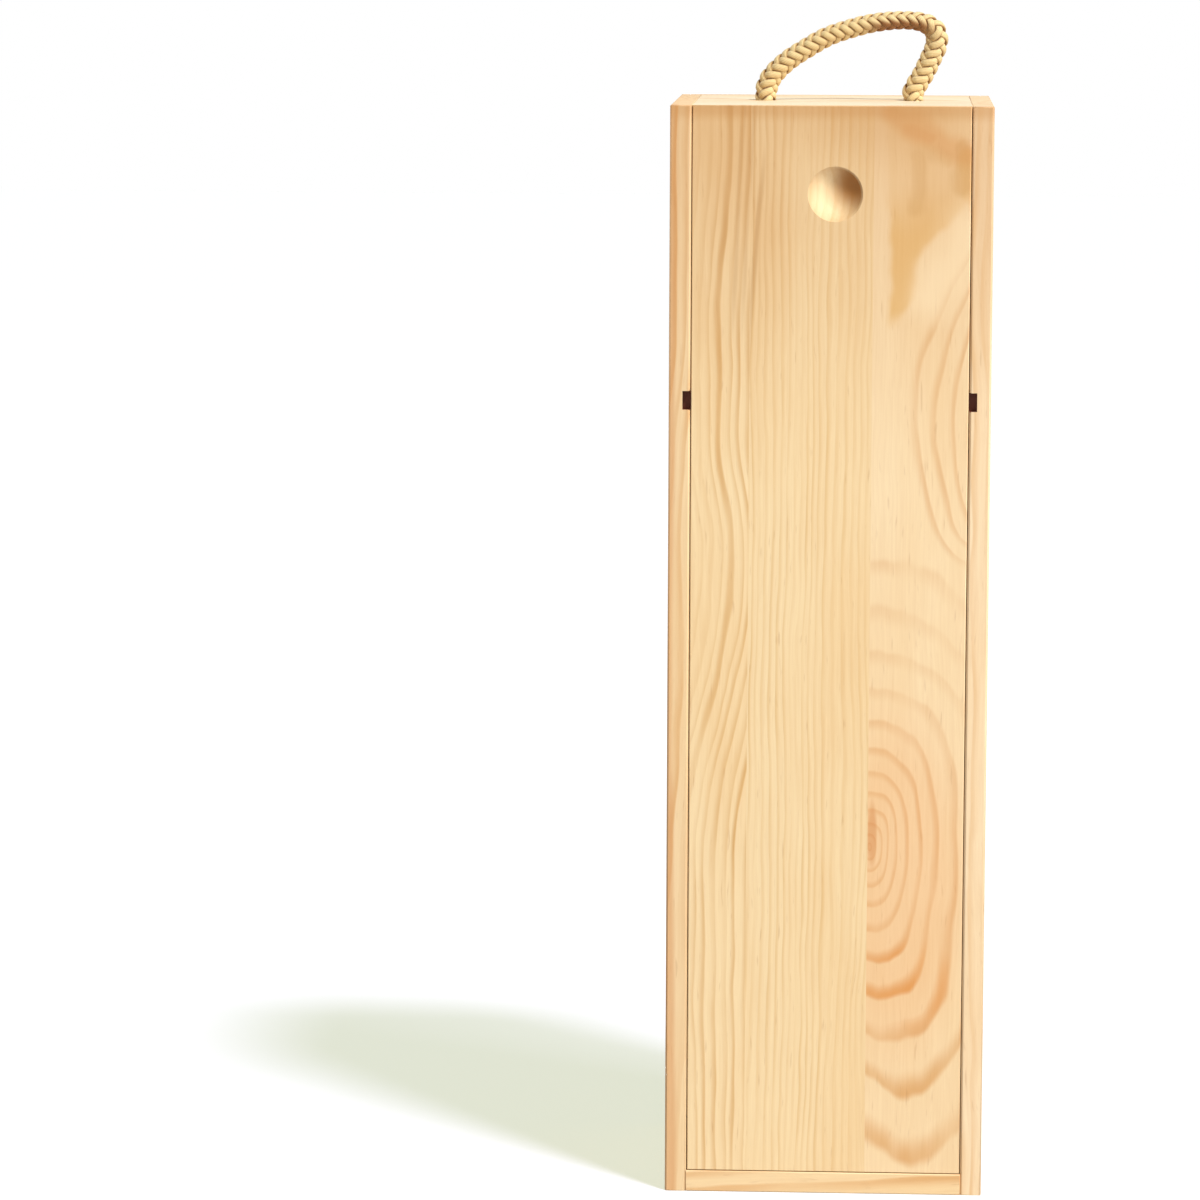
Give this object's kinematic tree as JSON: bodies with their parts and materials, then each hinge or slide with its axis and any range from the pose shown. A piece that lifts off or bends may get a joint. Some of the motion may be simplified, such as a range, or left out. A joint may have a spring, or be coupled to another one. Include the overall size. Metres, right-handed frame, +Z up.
{
  "type": "wooden wine box",
  "caption": "Tall narrow wooden box for one wine bottle, with a lid that slides up and out, a neck support inside and a rope handle on top.",
  "frame": {"origin": "on the floor under the middle of the box", "axes": "+Z up along the height, the lid faces -Y, +Y points out of the back panel, +X is to the right seen from the lid"},
  "size_m": [0.105, 0.1, 0.3896],
  "materials": {
    "pine_wall": "bare planed pine",
    "pine_end": "bare planed pine",
    "pine_back": "bare planed pine",
    "pine_lid_left": "bare planed pine, coarse grain",
    "pine_lid_middle": "bare planed pine, fine straight grain",
    "pine_lid_right": "bare planed pine, cathedral grain",
    "rope": "braided natural cord",
    "brad_steel": "bright wire"
  },
  "bodies": {
    "box": {"left_side": "pine_wall", "right_side": "pine_wall", "top_end": "pine_end", "bottom_end": "pine_end", "neck_support": "pine_end", "back_stave_left": "pine_back", "back_stave_middle": "pine_back", "back_stave_right": "pine_back", "rope_end_left": "rope", "rope_end_right": "rope", "brads_left": "brad_steel", "brads_right": "brad_steel", "brads_back": "brad_steel"},
    "lid": {"lid_stave_left": "pine_lid_left", "lid_stave_middle": "pine_lid_middle", "lid_stave_right": "pine_lid_right"},
    "handle": {"rope_loop": "rope"}
  },
  "joints": [
    {"name": "lid_slide", "type": "slide", "parent": "box", "child": "lid", "axis": [0, 0, 1], "range_m": [0, 0.356]},
    {"name": "handle_swing", "type": "hinge", "parent": "box", "child": "handle", "pos_m": [0, 0, 0.3633], "axis": [1, 0, 0], "range_deg": [-85, 85], "stiffness_Nm_per_rad": 0.006}
  ]
}
